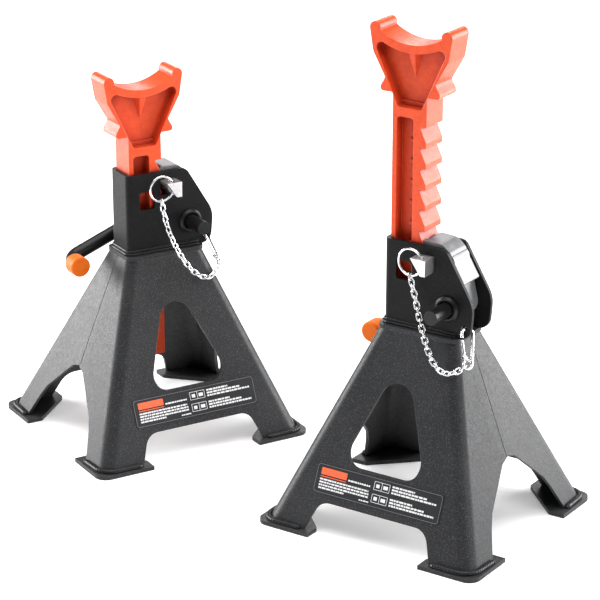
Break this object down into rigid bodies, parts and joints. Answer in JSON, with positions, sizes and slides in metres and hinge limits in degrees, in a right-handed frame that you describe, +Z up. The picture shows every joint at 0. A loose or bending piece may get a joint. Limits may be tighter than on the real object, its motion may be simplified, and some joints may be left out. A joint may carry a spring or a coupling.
{
  "type": "axle jack stands",
  "caption": "Ratchet axle jack stands with folded steel bases, toothed columns with curved saddles, pawl handles with soft grips, and locking pins on chains.",
  "frame": {"origin": "on the floor, under the middle of the bounding box of both stands", "axes": "+X across the pair from the lowered stand to the raised one, +Y to the back, +Z up"},
  "size_m": [0.4381, 0.3996, 0.3567],
  "materials": {
    "base_paint": "speckled charcoal powder coat",
    "weld_paint": "rippled bead under satin paint",
    "post_paint": "satin black paint",
    "column_paint": "orange-red paint on a rough casting",
    "pawl_iron": "satin grey casting",
    "handle_paint": "gloss black paint",
    "grip_rubber": "soft orange cap",
    "zinc_plate": "bright zinc plate",
    "pin_steel": "drawn bar with cut ends",
    "label_film": "printed film"
  },
  "bodies": {
    "stands": {"left_base_front": "base_paint", "left_base_rear": "base_paint", "left_foot_plates": "base_paint", "left_foot_welds": "weld_paint", "left_top_plate": "base_paint", "left_post": "post_paint", "left_post_weld": "weld_paint", "left_pivot_bushes": "post_paint", "left_guide_bar": "post_paint", "left_spacers": "zinc_plate", "left_snap_hook": "zinc_plate", "left_gate_rivet": "zinc_plate", "left_chain": "zinc_plate", "left_label": "label_film", "right_base_front": "base_paint", "right_base_rear": "base_paint", "right_foot_plates": "base_paint", "right_foot_welds": "weld_paint", "right_top_plate": "base_paint", "right_post": "post_paint", "right_post_weld": "weld_paint", "right_pivot_bushes": "post_paint", "right_guide_bar": "post_paint", "right_spacers": "zinc_plate", "right_snap_hook": "zinc_plate", "right_gate_rivet": "zinc_plate", "right_chain": "zinc_plate", "right_label": "label_film"},
    "left_mast": {"left_column": "column_paint"},
    "left_lever": {"left_pawl": "pawl_iron", "left_roll_pin": "zinc_plate", "left_handle": "handle_paint", "left_grip": "grip_rubber"},
    "left_pin": {"left_locking_pin": "pin_steel"},
    "left_ring": {"left_split_ring": "zinc_plate"},
    "left_gate": {"left_hook_gate": "zinc_plate"},
    "right_mast": {"right_column": "column_paint"},
    "right_lever": {"right_pawl": "pawl_iron", "right_roll_pin": "zinc_plate", "right_handle": "handle_paint", "right_grip": "grip_rubber"},
    "right_pin": {"right_locking_pin": "pin_steel"},
    "right_ring": {"right_split_ring": "zinc_plate"},
    "right_gate": {"right_hook_gate": "zinc_plate"}
  },
  "joints": [
    {"name": "left_column_lift", "type": "slide", "parent": "stands", "child": "left_mast", "axis": [0, 0, 1], "range_m": [0, 0.0888]},
    {"name": "left_pawl_release", "type": "hinge", "parent": "stands", "child": "left_lever", "pos_m": [-0.07994, 0.0947, 0.164], "axis": [-0.506, 0.8625, 0], "range_deg": [0, 20]},
    {"name": "left_pin_pull", "type": "slide", "parent": "stands", "child": "left_pin", "axis": [0.506, -0.8625, 0], "range_m": [0, 0.045], "deforming": ["left_chain"]},
    {"name": "left_ring_turn", "type": "hinge", "parent": "left_pin", "child": "left_ring", "pos_m": [-0.09242, 0.06361, 0.1946], "axis": [-0.506, 0.8625, 0], "continuous": true},
    {"name": "left_gate_press", "type": "hinge", "parent": "stands", "child": "left_gate", "pos_m": [-0.05356, 0.08578, 0.13415], "axis": [-0.8735, 0.1544, -0.4617], "range_deg": [0, 18], "stiffness_Nm_per_rad": 0.0005, "springref_deg": -28.65},
    {"name": "right_column_lift", "type": "slide", "parent": "stands", "child": "right_mast", "axis": [0, 0, 1], "range_m": [-0.074, 0.0148]},
    {"name": "right_pawl_release", "type": "hinge", "parent": "stands", "child": "right_lever", "pos_m": [0.11969, -0.09762, 0.164], "axis": [0.5563, 0.831, 0], "range_deg": [0, 20]},
    {"name": "right_pin_pull", "type": "slide", "parent": "stands", "child": "right_pin", "axis": [-0.5563, -0.831, 0], "range_m": [0, 0.045], "deforming": ["right_chain"]},
    {"name": "right_ring_turn", "type": "hinge", "parent": "right_pin", "child": "right_ring", "pos_m": [0.08627, -0.09991, 0.1946], "axis": [0.5563, 0.831, 0], "continuous": true},
    {"name": "right_gate_press", "type": "hinge", "parent": "stands", "child": "right_gate", "pos_m": [0.12315, -0.12525, 0.13415], "axis": [-0.2411, 0.8536, -0.4617], "range_deg": [0, 18], "stiffness_Nm_per_rad": 0.0005, "springref_deg": -28.65}
  ]
}
